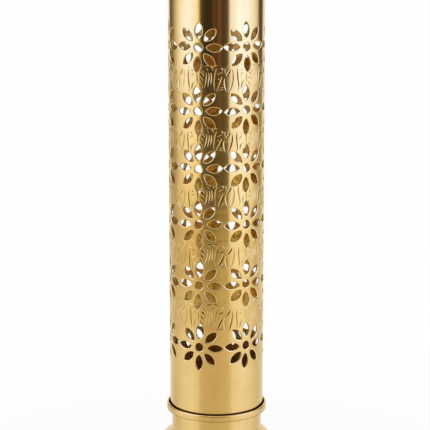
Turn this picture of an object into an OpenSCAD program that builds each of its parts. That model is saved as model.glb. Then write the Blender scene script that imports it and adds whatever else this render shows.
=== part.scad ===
// Pierced brass incense tower. A hollow bell foot carries a short neck with a rimmed
// collar, the pierced tube stands in the collar and hides a lift-out ash tray, and a
// domed lid with a finial closes the top. Millimetres, +Z up. The origin is the centre
// of the foot's underside, and the front of the tower faces -Y.

/* [Foot] */
// Radius of the foot where it stands
foot_r = 46; // [44:1:56]
// Height of the foot, up to the neck
foot_h = 42; // [38:1:50]
// Thickness of the spun sheet
foot_wall = 1.4; // [1.2:0.1:1.8]
// Height of the waist between the flare and the shoulder
waist_z = 22; // [20:0.5:24]
// Radius of the waist
waist_r = 33; // [32:0.5:34]

/* [Neck and collar] */
// Height of the neck between the foot and the collar
neck_h = 12.5; // [12:0.5:20]
// Thickness of the neck's wall
neck_wall = 2.1; // [1.6:0.1:2.5]
// Height of the collar ring
collar_h = 3.3; // [3:0.1:5]
// How far the collar stands out past the tube
collar_out = 1.8; // [1.6:0.1:2.5]
// Gap between the tube and the collar's rim
collar_gap = 0.9; // [0.5:0.1:1]
// Thickness of the collar under the tube
collar_floor = 1.2; // [1:0.1:1.5]
// Height of the neck that stands up inside the tube
spigot_h = 7.3; // [7:0.1:12]

/* [Tube] */
// Outer diameter of the tube
tube_d = 50; // [50:0.2:52]
// Thickness of the tube's wall
tube_wall = 0.8; // [0.8:0.1:1]
// Length of the tube
tube_h = 235; // [232:1:260]

/* [Flowers] */
// Flowers in each row around the tube
flowers_around = 6; // [4:1:6]
// Petals on each flower
petals = 8; // [6:1:8]
// Length of a petal, from point to point
petal_l = 8.2; // [7:0.1:8.4]
// Greatest width of a petal
petal_w = 4; // [3:0.1:4.2]
// Distance from a flower's centre to the middle of a petal
petal_r = 8.5; // [8.2:0.1:8.7]
// Diameter of the hole in the middle of a flower
centre_d = 4.4; // [3.6:0.1:4.6]
// Angle from +X to the first flower
flower_phase = 8.1; // [0:0.1:59]

/* [Ash tray] */
// Depth of the tray below the neck's edge
tray_h = 13; // [11:0.5:13]
// Thickness of the tray
tray_wall = 1; // [0.8:0.1:1.2]
// Radius of the stick holder
holder_r = 8; // [7:0.5:9]
// Height of the stick holder above the tray's floor
holder_h = 10; // [9:0.5:11]
// Radius of a stick hole
stick_r = 1.1; // [0.9:0.05:1.3]
// Depth of the middle stick hole
stick_depth = 7; // [5:0.5:7.5]
// Stick holes in the ring around the middle one
ring_sticks = 4; // [3:1:6]

/* [Lid] */
// Depth of the sleeve that plugs into the tube
sleeve_h = 8; // [6:0.5:12]
// Height of the lid's edge ring
lid_ring_h = 3.3; // [3:0.1:5]
// Height of the dome
dome_h = 22; // [20:1:26]
// Thickness of the dome
dome_wall = 1.4; // [1.2:0.1:1.8]

/* [Finial] */
// Height of the spool under the knob
reel_h = 8; // [7:0.5:10]
// Radius of the knob
knob_r = 8.5; // [8:0.5:10]
// Height of the pointed tip above the knob
tip_h = 16; // [12:1:20]

/* [Hidden] */
$fn = 96;
eps = 0.01;

// Heights of the flowers' centres above the tube's lower end, spaced by eye as on hand-cut work
row_heights = [39, 72, 104, 133, 163, 195];

tube_r = tube_d / 2;
bore_r = tube_r - tube_wall;
slip = 0.1;
spigot_r = bore_r - slip;
collar_r = tube_r + collar_out;
collar_z = foot_h + neck_h;
tube_z = collar_z + collar_floor;
tube_top = tube_z + tube_h;
spigot_top = tube_z + spigot_h;
edge_r = 0.8;
chamfer = 0.4;
cut_past = 1.5;

// The foot is a flare and a shoulder, each a quarter of an ellipse
rim_h = 4;
rim_bead = 2;
rim_inner_r = foot_r - 4;
flare_r = foot_r - rim_bead - 0.6;
flare_z = rim_h + 0.6;
step_h = 3;
step_out = 1.4;
shoulder_z = waist_z + step_h;
shoulder_r = waist_r + 0.4;
shoulder_centre = 20;
plate_r = spigot_r + 0.8;
plate_wall = foot_wall + 0.2;

// The bolt, washer and nut that hold the neck on the foot
neck_floor = 2;
neck_bore = spigot_r - neck_wall;
bolt_r = 2.5;
bolt_hole = bolt_r + 0.2;
bolt_head_r = 4.5;
bolt_head_h = 3;
washer_r = 7;
washer_h = 1.2;
nut_flats = 8;
nut_h = 4;
thread_out = 2;
slot_w = 1.2;
slot_d = 1.2;

// The tray hangs in the neck by its flange
flange_r = bore_r - 0.3;
flange_h = 1;
tray_r = neck_bore - 0.4;
tray_z = spigot_top - tray_h;
tray_floor = tray_z + tray_wall;
holder_top = tray_floor + holder_h;
stick_ring_r = 4.6;
screw_r = 1.5;
screw_head_r = 2.8;
screw_head_h = 1.6;
screw_l = 2.6;
screw_slot_w = 0.8;
screw_slot_d = 0.7;
holder_edge = 1.5;

// The lid
sleeve_r = bore_r - slip;
sleeve_wall = 1.3;
dome_z = tube_top + lid_ring_h;
sleeve_top = dome_z + 1.5;
dome_r = collar_r - 0.8;
dome_top = dome_z + dome_h;
cap_r = 7;
cap_out = 7;
cap_blend = 10;
cap_bore = 5.8;
seam = 0.05;

// The finial and what holds it
reel_r = 6.4;
reel_waist = 4;
reel_lip = 1.2;
stud_r = 2;
stud_hole = stud_r + 0.1;
stud_grip = 8;
finial_nut_flats = 7;
finial_nut_h = 3.2;
finial_washer_r = 5.2;
finial_washer_h = 1;
reel_top = dome_top + reel_h;
knob_z = reel_top + knob_r - 1.2;
tip_from = 60;
stem_r = 1.2;
tip_ball_r = 1.6;

// Points along part of an ellipse, from one angle to another
function curve(centre_r, centre_z, half_r, half_z, from, to, steps = 10) =
    [for (i = [0:steps]) let (a = from + (to - from) * i / steps)
        [centre_r + half_r * cos(a), centre_z + half_z * sin(a)]];

module turned(outline) {
    rotate_extrude() polygon(outline);
}

module ring(inner_r, outer_r, z, h) {
    translate([0, 0, z]) difference() {
        cylinder(r = outer_r, h = h);
        translate([0, 0, -eps]) cylinder(r = inner_r, h = h + 2 * eps);
    }
}

module rod(r, z, h) {
    translate([0, 0, z]) cylinder(r = r, h = h);
}

module hex_nut(flats, hole_r, z, h) {
    translate([0, 0, z]) difference() {
        cylinder(d = flats / cos(30), h = h, $fn = 6);
        translate([0, 0, -eps]) cylinder(r = hole_r, h = h + 2 * eps, $fn = 48);
    }
}

// The shoulder's height over its whole quarter, from where it must meet the top plate
function shoulder_rise(half_r, reach_r, rise) =
    rise / sqrt(1 - pow((reach_r - shoulder_centre) / half_r, 2));

module foot() {
    outer_r = shoulder_r - shoulder_centre;
    outer_rise = shoulder_rise(outer_r, plate_r, foot_h - shoulder_z);
    inner_r = outer_r - foot_wall;
    inner_rise = outer_rise - foot_wall;
    plate_z = foot_h - plate_wall;
    inner_end = asin((plate_z - shoulder_z) / inner_rise);
    flare_in = flare_r - waist_r + foot_wall;
    outer_end = acos((plate_r - shoulder_centre) / outer_r);
    color("goldenrod") turned(concat(
        [[rim_inner_r, 0]],
        curve(foot_r - rim_bead, rim_bead, rim_bead, rim_bead, -90, 90, 8),
        curve(flare_r, waist_z, flare_r - waist_r, waist_z - flare_z, 270, 180),
        curve(waist_r, waist_z + step_h / 2, step_out, step_h / 2, -90, 90, 6),
        curve(shoulder_centre, shoulder_z, outer_r, outer_rise, 0, outer_end, 12),
        [[bolt_hole, foot_h], [bolt_hole, plate_z]],
        curve(shoulder_centre, shoulder_z, inner_r, inner_rise, inner_end, 0, 12),
        curve(flare_r, waist_z, flare_in, waist_z - flare_z + foot_wall, 180, 264)
    ));
}

module neck() {
    color("gold") difference() {
        rod(spigot_r, foot_h, spigot_top - foot_h);
        rod(neck_bore, foot_h + neck_floor, spigot_top - foot_h);
        rod(bolt_hole, foot_h - 1, neck_floor + 2);
    }
}

// The rim's top edge is rounded over, and the tube stands on the floor inside it
module collar_ring() {
    rim_r = tube_r + collar_gap;
    color("darkgoldenrod") turned(concat(
        [[spigot_r, collar_z], [collar_r - chamfer, collar_z], [collar_r, collar_z + chamfer]],
        curve(collar_r - edge_r, collar_z + collar_h - edge_r, edge_r, edge_r, 0, 90, 6),
        [[rim_r, collar_z + collar_h - chamfer], [rim_r, tube_z], [spigot_r, tube_z]]
    ));
}

module tie_bolt() {
    head_z = foot_h + neck_floor;
    shank_l = neck_floor + plate_wall + washer_h + nut_h + thread_out;
    color("silver") difference() {
        union() {
            rod(bolt_head_r, head_z, bolt_head_h);
            rod(bolt_r, head_z - shank_l, shank_l + eps);
        }
        translate([-bolt_head_r - 1, -slot_w / 2, head_z + bolt_head_h - slot_d])
            cube([2 * bolt_head_r + 2, slot_w, slot_d + 1]);
    }
}

module tie_washer() {
    color("silver") ring(bolt_hole, washer_r, foot_h - plate_wall - washer_h, washer_h);
}

module tie_nut() {
    color("silver") hex_nut(nut_flats, bolt_r, foot_h - plate_wall - washer_h - nut_h, nut_h);
}

module ash_tray() {
    color("peru") difference() {
        union() {
            rod(flange_r, spigot_top, flange_h);
            rod(tray_r, tray_z, tray_h + eps);
        }
        rod(tray_r - tray_wall, tray_floor, tray_h + flange_h);
        rod(screw_r, tray_z - 1, tray_wall + 2);
    }
}

module stick_holder() {
    color("gold") difference() {
        turned(concat(
            [[0, tray_floor], [holder_r, tray_floor]],
            curve(holder_r - holder_edge, holder_top - holder_edge, holder_edge, holder_edge, 0, 90, 6),
            [[0, holder_top]]
        ));
        rod(stick_r, holder_top - stick_depth, stick_depth + 1);
        for (i = [0:ring_sticks - 1])
            rotate([0, 0, 45 + i * 360 / ring_sticks])
                translate([stick_ring_r, 0, 0]) rod(stick_r, tray_floor - 1, holder_h + 2);
        rod(screw_r, tray_floor - 1, screw_l + 1);
    }
}

module holder_screw() {
    color("silver") difference() {
        union() {
            rod(screw_head_r, tray_z - screw_head_h, screw_head_h);
            rod(screw_r, tray_z - eps, tray_wall + screw_l);
        }
        translate([-screw_head_r - 1, -screw_slot_w / 2, tray_z - screw_head_h - 1])
            cube([2 * screw_head_r + 2, screw_slot_w, screw_slot_d + 1]);
    }
}

// A pointed petal is where two circles overlap
module petal_shape() {
    big_r = (petal_l * petal_l + petal_w * petal_w) / (4 * petal_w);
    intersection() {
        translate([0, big_r - petal_w / 2]) circle(r = big_r);
        translate([0, petal_w / 2 - big_r]) circle(r = big_r);
    }
}

// Cuts a flat shape square through the wall, facing +X
module wall_cutter() {
    rotate([90, 0, 90]) translate([0, 0, bore_r - cut_past])
        linear_extrude(tube_wall + 2 * cut_past) children();
}

// Each petal is cut square to the wall where it lies, so the flower wraps round the tube
module flower_cutter() {
    wall_cutter() circle(d = centre_d, $fn = 32);
    for (i = [0:petals - 1]) {
        turn = i * 360 / petals;
        around = petal_r * cos(turn) / tube_r * 180 / PI;
        rotate([0, 0, around]) translate([0, 0, petal_r * sin(turn)])
            wall_cutter() rotate(turn) petal_shape();
    }
}

module pierced_tube() {
    color("goldenrod") difference() {
        ring(bore_r, tube_r, tube_z, tube_h);
        for (height = row_heights, i = [0:flowers_around - 1])
            rotate([0, 0, flower_phase + i * 360 / flowers_around])
                translate([0, 0, tube_z + height]) flower_cutter();
    }
}

module lid_sleeve() {
    low = tube_top - sleeve_h;
    color("peru") ring(sleeve_r - sleeve_wall, sleeve_r, low, sleeve_top - low);
}

module lid_ring() {
    half = lid_ring_h / 2;
    color("darkgoldenrod") turned(concat(
        [[sleeve_r, tube_top]],
        curve(collar_r - half, tube_top + half, half, half, -90, 90, 10),
        [[sleeve_r, dome_z]]
    ));
}

// The dome rises steeply from the ring, then sweeps up to the small flat cap
module lid_dome() {
    bend_z = dome_z + 1;
    rise = dome_h - cap_blend - 0.3;
    color("goldenrod") turned(concat(
        [[sleeve_r + seam, dome_z], [dome_r, dome_z]],
        curve(cap_r, bend_z, dome_r - cap_r, rise, 0, 72, 14),
        curve(cap_r + cap_out, dome_top, cap_out, cap_blend, 261, 180, 10),
        [[stud_hole, dome_top], [stud_hole, dome_top - dome_wall], [cap_bore, dome_top - dome_wall]],
        curve(cap_bore, bend_z, dome_r - cap_bore - dome_wall, rise - dome_wall, 90, 8, 14),
        [[sleeve_r + seam, sleeve_top]]
    ));
}

module finial_reel() {
    color("darkgoldenrod") turned(concat(
        [[stud_hole, dome_top], [reel_r, dome_top]],
        curve(reel_r, dome_top + reel_h / 2, reel_r - reel_waist, reel_h / 2 - reel_lip, 270, 90, 10),
        [[reel_r, reel_top], [stud_hole, reel_top]]
    ));
}

// A ball that draws out into a fine stem with a bead on its end
module finial_knob() {
    start_r = knob_r * cos(tip_from);
    start_z = knob_z + knob_r * sin(tip_from);
    stem_top = start_z + 0.7 * tip_h;
    stem_angle = acos(stem_r / tip_ball_r);
    color("gold") difference() {
        turned(concat(
            [[0, reel_top]],
            curve(0, knob_z, knob_r, knob_r, asin((reel_top - knob_z) / knob_r), tip_from - 5, 20),
            curve(start_r, stem_top, start_r - stem_r, stem_top - start_z, 268, 180, 10),
            curve(0, stem_top + tip_ball_r * sin(stem_angle), tip_ball_r, tip_ball_r, -stem_angle, 90, 12)
        ));
        rod(stud_r, reel_top - 1, stud_grip + 1);
    }
}

module finial_stud() {
    low = dome_top - dome_wall - finial_washer_h - finial_nut_h - thread_out;
    color("silver") rod(stud_r, low, reel_top + stud_grip - low);
}

module finial_washer() {
    z = dome_top - dome_wall - finial_washer_h;
    color("silver") ring(stud_hole, finial_washer_r, z, finial_washer_h);
}

module finial_nut() {
    z = dome_top - dome_wall - finial_washer_h - finial_nut_h;
    color("silver") hex_nut(finial_nut_flats, stud_r, z, finial_nut_h);
}

foot();
neck();
collar_ring();
tie_bolt();
tie_washer();
tie_nut();
ash_tray();
stick_holder();
holder_screw();
pierced_tube();
lid_sleeve();
lid_ring();
lid_dome();
finial_reel();
finial_knob();
finial_stud();
finial_washer();
finial_nut();
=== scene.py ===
"""A pierced brass incense tower in a plain white studio.

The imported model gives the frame: every piece stands where its CAD node stands and rides on
that node's body. The turned pieces are drawn as lathe outlines in millimetres and spun, the
tube's flowers and engraved strokes are cut by a Geometry Nodes tree, and each finish reads the
piece's own coordinates. The pieces' sizes are in millimetres, the studio's in metres, and
angles in degrees, except where a comment says otherwise.
"""

from __future__ import annotations

import logging
import math
from dataclasses import dataclass, field
from enum import Enum
from typing import Callable, Iterable, Sequence, Union

import bmesh
import bpy
from mathutils import Matrix, Vector

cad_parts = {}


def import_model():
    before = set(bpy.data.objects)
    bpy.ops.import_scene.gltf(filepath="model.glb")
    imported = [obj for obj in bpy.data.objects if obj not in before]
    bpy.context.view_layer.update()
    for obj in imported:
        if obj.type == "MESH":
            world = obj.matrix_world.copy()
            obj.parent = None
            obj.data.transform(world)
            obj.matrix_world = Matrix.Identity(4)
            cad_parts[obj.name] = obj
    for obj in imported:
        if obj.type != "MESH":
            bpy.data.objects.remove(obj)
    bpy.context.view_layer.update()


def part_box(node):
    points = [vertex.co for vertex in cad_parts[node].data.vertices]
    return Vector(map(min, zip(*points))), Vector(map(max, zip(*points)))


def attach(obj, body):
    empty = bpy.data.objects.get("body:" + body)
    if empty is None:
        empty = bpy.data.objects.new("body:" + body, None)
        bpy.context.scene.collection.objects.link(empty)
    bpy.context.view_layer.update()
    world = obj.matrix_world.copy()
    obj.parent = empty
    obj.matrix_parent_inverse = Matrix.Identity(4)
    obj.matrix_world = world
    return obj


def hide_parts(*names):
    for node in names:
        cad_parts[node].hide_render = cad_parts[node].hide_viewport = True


LOG = logging.getLogger("incense_tower")
MM = 0.001
SIDES = 192  # facets round a turned piece
ON_AXIS = 1e-6  # a radius of fewer millimetres lies on the axis
SAME_PLACE = 1e-5  # points fewer millimetres apart are one
WHITE = (1.0, 1.0, 1.0, 1.0)
Colour = tuple[float, float, float]
Point = tuple[float, float]


def node_size(node: str) -> tuple[float, float, float]:
    """A CAD node's outer radius, lower end and upper end, in millimetres."""
    low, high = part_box(node)
    return high.x / MM, low.z / MM, high.z / MM


# --------------------------------------------------------------------------- node helpers


class Number:
    """One number inside a node tree, so that node maths reads as ordinary maths."""

    def __init__(self, graph: "Graph", socket: bpy.types.NodeSocket) -> None:
        """Wraps an output socket of a node in graph."""
        self.graph = graph
        self.socket = socket

    def _math(self, operation: str, *terms: "Term") -> "Number":
        """Adds a Math node whose inputs, in order, are the terms."""
        return self.graph.number("ShaderNodeMath", 0, {"operation": operation}, dict(enumerate(terms)))

    def __add__(self, other: "Term") -> "Number":
        """Adds."""
        return self._math("ADD", self, other)

    def __sub__(self, other: "Term") -> "Number":
        """Subtracts."""
        return self._math("SUBTRACT", self, other)

    def __mul__(self, other: "Term") -> "Number":
        """Multiplies."""
        return self._math("MULTIPLY", self, other)

    def __truediv__(self, other: "Term") -> "Number":
        """Divides."""
        return self._math("DIVIDE", self, other)

    def __mod__(self, other: "Term") -> "Number":
        """The remainder."""
        return self._math("MODULO", self, other)

    def __rsub__(self, other: float) -> "Number":
        """Subtracts this from a plain number."""
        return self._math("SUBTRACT", other, self)

    __radd__ = __add__
    __rmul__ = __mul__

    def floor(self) -> "Number":
        """The whole number below."""
        return self._math("FLOOR", self)

    def sine(self) -> "Number":
        """The sine of an angle in radians."""
        return self._math("SINE", self)

    def cosine(self) -> "Number":
        """The cosine of an angle in radians."""
        return self._math("COSINE", self)

    def length_with(self, other: "Number") -> "Number":
        """The length of the plane vector (self, other)."""
        return self._math("SQRT", self * self + other * other)

    def angle_with(self, other: "Number") -> "Number":
        """The angle in radians from other's axis towards this one's."""
        return self._math("ARCTAN2", self, other)

    def away_from(self, place: float) -> "Number":
        """The distance to a plain number."""
        return self._math("ABSOLUTE", self - place)

    def most(self, other: "Term") -> "Number":
        """The larger of two."""
        return self._math("MAXIMUM", self, other)

    def ramp(self, start: float, end: float) -> "Number":
        """A smooth rise.

        Args:
            start: the value that gives 0, smaller or larger than end.
            end: the value that gives 1.

        Returns:
            The rise, from 0 to 1.
        """
        low, high = sorted((start, end))
        settings = {"interpolation_type": "SMOOTHSTEP"}
        places = {"Value": self, "From Min": low, "From Max": high}
        rise = self.graph.number("ShaderNodeMapRange", "Result", settings, places)
        return rise if start < end else 1.0 - rise


Term = Union[Number, float, int]


class Graph:
    """A node tree that is filled by one method."""

    def __init__(self, tree: bpy.types.NodeTree) -> None:
        """Starts from an empty tree."""
        tree.nodes.clear()
        self.tree = tree

    def node(self, kind: str, settings: dict | None = None,
             inputs: dict | None = None) -> bpy.types.Node:
        """Adds a node.

        Args:
            kind: the node's type.
            settings: its properties, set first; "stops" fills a colour ramp.
            inputs: by socket name or number, a value, a Number, a socket or a list of sockets.

        Returns:
            The new node.
        """
        made = self.tree.nodes.new(kind)
        for name, value in (settings or {}).items():
            if name == "stops":
                self._fill_ramp(made.color_ramp, value)
            else:
                setattr(made, name, value)
        for name, value in (inputs or {}).items():
            for part in value if isinstance(value, list) else [value]:
                self._feed(made.inputs[name], part)
        return made

    def number(self, kind: str, output: str | int = 0, settings: dict | None = None,
               inputs: dict | None = None) -> Number:
        """Adds a node and returns one of its outputs as a Number."""
        return Number(self, self.node(kind, settings, inputs).outputs[output])

    def split(self, vector: bpy.types.NodeSocket) -> tuple[Number, Number, Number]:
        """The three parts of a vector."""
        parts = self.node("ShaderNodeSeparateXYZ", None, {0: vector})
        return tuple(Number(self, parts.outputs[axis]) for axis in "XYZ")

    def join(self, x: Term, y: Term, z: Term) -> bpy.types.NodeSocket:
        """A vector from three numbers."""
        return self.node("ShaderNodeCombineXYZ", None, {"X": x, "Y": y, "Z": z}).outputs[0]

    def _feed(self, socket: bpy.types.NodeSocket, value: object) -> None:
        """Links or sets one input.

        Args:
            socket: the input.
            value: a Number or a socket to link, or a plain value to set.
        """
        if isinstance(value, Number):
            value = value.socket
        if isinstance(value, bpy.types.NodeSocket):
            self.tree.links.new(value, socket)
        else:
            socket.default_value = value

    @staticmethod
    def _fill_ramp(ramp: bpy.types.ColorRamp, stops: Sequence[tuple[float, Colour]]) -> None:
        """Sets a ramp's stops.

        Args:
            ramp: a new colour ramp.
            stops: the place, from 0 to 1, and the colour of each.
        """
        while len(ramp.elements) < len(stops):
            ramp.elements.new(1.0)
        for element, (place, colour) in zip(ramp.elements, stops):
            element.position = place
            element.color = (*colour, 1.0)


# --------------------------------------------------------------------------- mesh helpers


@dataclass
class Outline:
    """The half section that a lathe follows, in millimetres of radius and height."""

    points: list[Point] = field(default_factory=list)

    def to(self, *corners: Point) -> "Outline":
        """Goes straight to each corner."""
        self.points.extend(corners)
        return self

    def bend(self, centre: Point, half: Point, start: float, end: float, steps: int = 16) -> "Outline":
        """Follows part of an ellipse.

        Args:
            centre: its centre.
            half: its half widths along radius and height.
            start: the first angle in degrees.
            end: the last angle in degrees.
            steps: the number of short sides.

        Returns:
            This outline.
        """
        for step in range(steps + 1):
            angle = math.radians(start + (end - start) * step / steps)
            place = (centre[0] + half[0] * math.cos(angle), centre[1] + half[1] * math.sin(angle))
            self.points.append(place)
        return self

    def rounded(self, radius: float, steps: int = 4, least: float = 28.0) -> "Outline":
        """A copy whose sharp corners are rounded over.

        Args:
            radius: of the rounding, less where the sides are short.
            steps: short sides on each corner.
            least: corners that turn less than this many degrees stay as they are.

        Returns:
            The new outline.
        """
        result = Outline()
        count = len(self.points)
        most = 0.45  # of a side's length, so that its two corners don't meet
        for index, corner in enumerate(self.points):
            here = Vector(corner)
            back = Vector(self.points[index - 1]) - here
            ahead = Vector(self.points[(index + 1) % count]) - here
            if min(corner[0], back.length, ahead.length) < ON_AXIS:
                result.to(corner)
                continue
            turn = math.pi - back.angle(ahead)
            if math.degrees(turn) < least:
                result.to(corner)
                continue
            reach = min(radius * math.tan(turn / 2), most * back.length, most * ahead.length)
            first = here + back.normalized() * reach
            last = here + ahead.normalized() * reach
            for step in range(steps + 1):
                part = step / steps
                low = first.lerp(here, part)
                result.to(tuple(low.lerp(here.lerp(last, part), part)))
        return result


class Workshop:
    """Makes meshes and hands finished pieces to the frame."""

    @staticmethod
    def add(name: str, mesh: bpy.types.Mesh,
            material: bpy.types.Material | None = None) -> bpy.types.Object:
        """Puts a mesh in the scene as an object at the origin.

        Args:
            name: the object's name.
            mesh: its mesh.
            material: its finish, or None to leave the mesh as it is.

        Returns:
            The new object.
        """
        piece = bpy.data.objects.new(name, mesh)
        bpy.context.scene.collection.objects.link(piece)
        if material is not None:
            mesh.materials.clear()
            mesh.materials.append(material)
        return piece

    @staticmethod
    def mesh(name: str, shape: bmesh.types.BMesh) -> bpy.types.Mesh:
        """Turns a finished shape into a mesh and lets the shape go.

        Args:
            name: the mesh's name.
            shape: the shape.

        Returns:
            The mesh.
        """
        made = bpy.data.meshes.new(name)
        shape.to_mesh(made)
        shape.free()
        return made

    @staticmethod
    def ring(shape: bmesh.types.BMesh, radius: float, height: float,
             sides: int) -> list[bmesh.types.BMVert]:
        """Adds a ring of corners round the axis; its radius and height are in metres."""
        angles = [2 * math.pi * i / sides for i in range(sides)]
        return [shape.verts.new((radius * math.cos(a), radius * math.sin(a), height)) for a in angles]

    @staticmethod
    def skin(shape: bmesh.types.BMesh, rings: Sequence[list[bmesh.types.BMVert]],
             inwards: bool = False) -> None:
        """Lays quads between each ring of corners and the next.

        Args:
            shape: the shape that holds the corners.
            rings: the rings, each with as many corners.
            inwards: whether the quads face the axis.
        """
        for low, high in zip(rings, rings[1:]):
            for i in range(len(low)):
                k = (i + 1) % len(low)
                outwards = (low[i], low[k], high[k], high[i])
                shape.faces.new((low[i], high[i], high[k], low[k]) if inwards else outwards)

    @staticmethod
    def cap(shape: bmesh.types.BMesh, rings: Sequence[list[bmesh.types.BMVert]]) -> None:
        """Closes the first and the last ring with a face each."""
        shape.faces.new(rings[0][::-1])
        shape.faces.new(rings[-1])

    @staticmethod
    def _corner_normals(points: list[Vector], closed: bool,
                        sharp: float = 32.0) -> list[tuple[Vector, Vector]]:
        """The normals of an outline's sides, of which long ones keep their own.

        Args:
            points: the outline's points, in radius and height.
            closed: whether the last point is joined to the first.
            sharp: sides that turn more than this many degrees meet in a hard edge.

        Returns:
            For each side, its normal at its first and at its second end.
        """
        sides = [points[(i + 1) % len(points)] - points[i] for i in range(len(points))]
        flat = [Vector((side.y, -side.x)).normalized() if side.length > SAME_PLACE else Vector((1, 0))
                for side in sides]

        def shared(first: int, second: int, own: int) -> Vector:
            """The normal where two sides meet, which the longer one leads.

            Args:
                first: the side that ends there.
                second: the side that starts there.
                own: the one of them whose normal it keeps at a hard edge.

            Returns:
                The normal.
            """
            if flat[first].angle(flat[second], 0.0) > math.radians(sharp):
                return flat[own]
            weighted = flat[first] * sides[first].length ** 2 + flat[second] * sides[second].length ** 2
            return weighted.normalized() if weighted.length > 0 else flat[own]

        ends = []
        last = len(points) - 1
        for i in range(len(points)):
            before = flat[i] if not closed and i == 0 else shared(i - 1, i, i)
            after = flat[i] if not closed and i == last - 1 else shared(i, (i + 1) % len(points), i)
            ends.append((before, after))
        return ends

    @classmethod
    def turn(cls, name: str, outline: Outline, material: bpy.types.Material | None,
             sides: int = SIDES) -> bpy.types.Object:
        """Spins an outline about +Z, with exact normals.

        Args:
            name: the piece's name.
            outline: counter-clockwise in radius and height; open only if both ends lie on the axis.
            material: the piece's finish, or None for a tool.
            sides: facets round the axis.

        Returns:
            The new object.
        """
        points = [Vector(point) for point in outline.points]
        points = [p for p, q in zip(points, points[1:] + points[:1])
                  if (p - q).length > SAME_PLACE or p.x < ON_AXIS]
        on_axis = points[0].x < ON_AXIS and points[-1].x < ON_AXIS
        normals = cls._corner_normals(points, not on_axis)
        shape = bmesh.new()
        rings = [cls.ring(shape, point.x * MM, point.y * MM, 1 if point.x < ON_AXIS else sides)
                 for point in points]
        custom = []
        pairs = len(points) - 1 if on_axis else len(points)
        for j in range(pairs):
            low, high = rings[j], rings[(j + 1) % len(points)]
            if len(low) == 1 and len(high) == 1:
                continue
            for i in range(sides):
                k = (i + 1) % sides
                corners = [(low, i, 0), (low, k, 0), (high, k, 1), (high, i, 1)]
                if len(low) == 1:
                    corners = [(low, 0, 0), (high, k, 1), (high, i, 1)]
                elif len(high) == 1:
                    corners = [(low, i, 0), (low, k, 0), (high, 0, 1)]
                shape.faces.new([ring[at] for ring, at, _ in corners])
                for ring, at, end in corners:
                    angle = 2 * math.pi * (at if len(ring) > 1 else i + 0.5) / sides
                    out, up = normals[j][end]
                    custom.append((out * math.cos(angle), out * math.sin(angle), up))
        mesh = cls.mesh(name, shape)
        cls.smooth(mesh)
        mesh.normals_split_custom_set(custom)
        return cls.add(name, mesh, material)

    @staticmethod
    def smooth(mesh: bpy.types.Mesh, sharp: float | None = None) -> None:
        """Shades a mesh smooth.

        Args:
            mesh: the mesh.
            sharp: the degrees past which an edge stays hard, or None for no hard edge.
        """
        mesh.polygons.foreach_set("use_smooth", [True] * len(mesh.polygons))
        if sharp is not None:
            mesh.set_sharp_from_angle(angle=math.radians(sharp))

    @staticmethod
    def plain(piece: bpy.types.Object) -> bpy.types.Object:
        """Bakes an object's modifiers into its mesh.

        Args:
            piece: the object.

        Returns:
            The same object, now without modifiers.
        """
        graph = bpy.context.evaluated_depsgraph_get()
        mesh = bpy.data.meshes.new_from_object(piece.evaluated_get(graph), depsgraph=graph)
        piece.modifiers.clear()
        old = piece.data
        piece.data = mesh
        bpy.data.meshes.remove(old)
        return piece

    @classmethod
    def cut(cls, piece: bpy.types.Object, *tools: bpy.types.Object) -> bpy.types.Object:
        """Cuts closed tools out of a closed piece and deletes the tools.

        Args:
            piece: the piece.
            tools: the tools.

        Returns:
            The same piece.
        """
        for tool in tools:
            step = piece.modifiers.new("cut", "BOOLEAN")
            step.operation = "DIFFERENCE"
            step.solver = "EXACT"
            step.object = tool
        cls.plain(piece)
        for tool in tools:
            bpy.data.objects.remove(tool)
        cls.smooth(piece.data, sharp=32.0)
        return piece

    @staticmethod
    def mount(piece: bpy.types.Object, body: str, slot: str, *nodes: str) -> bpy.types.Object:
        """Hands a finished piece to the frame and reports it.

        Args:
            piece: the piece.
            body: the body that it rides on.
            slot: its material slot; not used.
            nodes: the CAD nodes that it replaces.

        Returns:
            The same piece.
        """
        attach(piece, body)
        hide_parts(*nodes)
        LOG.info("%s rides on %s: %d faces", piece.name, body, len(piece.data.polygons))
        return piece


# --------------------------------------------------------------------------- finishes


@dataclass(frozen=True)
class Band:
    """A stretch of height, in millimetres, that a finish treats apart, perhaps only inside a radius."""

    middle: float
    half: float
    fade: float
    within: float = math.inf
    within_fade: float = 0.05

    def mask(self, radius: Number, z: Number) -> Number:
        """Where the band is.

        Args:
            radius: a place's distance from the axis, in metres.
            z: its height, in metres.

        Returns:
            From 0 outside the band to 1 in it.
        """
        part = z.away_from(self.middle * MM).ramp((self.half + self.fade) * MM, self.half * MM)
        if math.isinf(self.within):
            return part
        return part * radius.ramp((self.within + self.within_fade) * MM, self.within * MM)


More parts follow.
